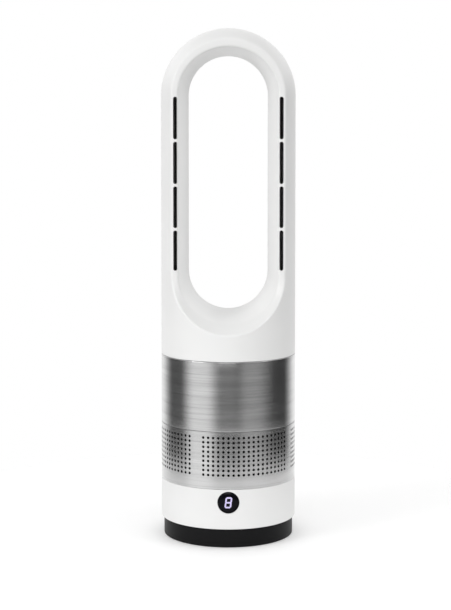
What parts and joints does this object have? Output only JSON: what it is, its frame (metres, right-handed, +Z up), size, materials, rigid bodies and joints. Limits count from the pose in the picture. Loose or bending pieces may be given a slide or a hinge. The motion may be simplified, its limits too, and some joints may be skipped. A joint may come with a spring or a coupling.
{
  "type": "tower fan",
  "caption": "Bladeless tower fan: an open loop head with air slits on a steel and white column that turns on a round black foot.",
  "frame": {"origin": "middle of the footprint on the floor", "axes": "+Z up along the column's axis, -Y is the front with the display, +X is to the viewer's right"},
  "size_m": [0.15, 0.15, 0.5662],
  "materials": {
    "white_plastic": "satin white moulded plastic",
    "black_plastic": "fine matt black moulded plastic",
    "display_black": "polished black window",
    "grey_plastic": "moulded grey plastic",
    "brushed_steel": "horizontally brushed stainless sheet",
    "plain_steel": "plain turned or pressed steel",
    "rubber": "matt rubber",
    "circuit_board": "green solder mask",
    "copper_winding": "enamelled copper wire",
    "brass": "turned brass"
  },
  "bodies": {
    "foot": {"base_shell": "black_plastic", "base_plate": "grey_plastic", "foot_1": "rubber", "foot_2": "rubber", "foot_3": "rubber", "foot_4": "rubber", "glide_pad_1": "white_plastic", "glide_pad_2": "white_plastic", "glide_pad_3": "white_plastic", "glide_pad_4": "white_plastic", "base_screw_1": "plain_steel", "base_screw_2": "plain_steel", "base_screw_3": "plain_steel", "pivot_retainer": "plain_steel", "power_jack": "black_plastic", "inlet_lead": "rubber", "fixed_gear": "white_plastic"},
    "tower": {"turntable": "grey_plastic", "ring_screw_1": "plain_steel", "ring_screw_2": "plain_steel", "ring_screw_3": "plain_steel", "oscillation_motor": "plain_steel", "control_ring": "white_plastic", "electronics_tray": "grey_plastic", "main_board": "circuit_board", "digit_module": "black_plastic", "button_switch": "plain_steel", "display_board": "circuit_board", "supply_lead": "rubber", "inlet_screen": "brushed_steel", "inlet_cage": "grey_plastic", "steel_casing": "brushed_steel", "fan_housing": "grey_plastic", "bellmouth": "white_plastic", "diffuser": "white_plastic", "motor_can": "plain_steel", "motor_lid": "plain_steel", "stator": "copper_winding", "bearing_lower": "plain_steel", "bearing_upper": "plain_steel", "motor_mount": "rubber", "bucket_cover": "white_plastic", "motor_lead": "rubber", "head_shell": "white_plastic", "front_bezel": "white_plastic", "rear_bezel": "white_plastic", "nozzle_strip_left": "black_plastic", "nozzle_strip_right": "black_plastic", "air_splitter": "white_plastic", "duct_gasket": "rubber", "joining_ring": "grey_plastic"},
    "drive_pinion": {"pinion": "white_plastic", "drive_shaft": "plain_steel"},
    "fan_rotor": {"impeller": "grey_plastic", "motor_shaft": "plain_steel", "rotor": "plain_steel", "impeller_nut": "brass"},
    "display_button": {"display_lens": "display_black", "button_carrier": "black_plastic"}
  },
  "joints": [
    {"name": "oscillation", "type": "hinge", "parent": "foot", "child": "tower", "pos_m": [0, 0, 0], "axis": [0, 0, 1], "range_deg": [-40, 40]},
    {"name": "pinion_spin", "type": "hinge", "parent": "tower", "child": "drive_pinion", "pos_m": [-0.03, 0, 0], "axis": [0, 0, 1], "range_deg": [-125, 125]},
    {"name": "fan_spin", "type": "hinge", "parent": "tower", "child": "fan_rotor", "pos_m": [0, 0, 0], "axis": [0, 0, 1], "continuous": true},
    {"name": "button_press", "type": "slide", "parent": "tower", "child": "display_button", "axis": [0, 1, 0], "range_m": [0, 0.0008], "stiffness_N_per_m": 400}
  ],
  "couplings": [
    {"joint": "pinion_spin", "follows": "oscillation", "ratio": 3}
  ]
}
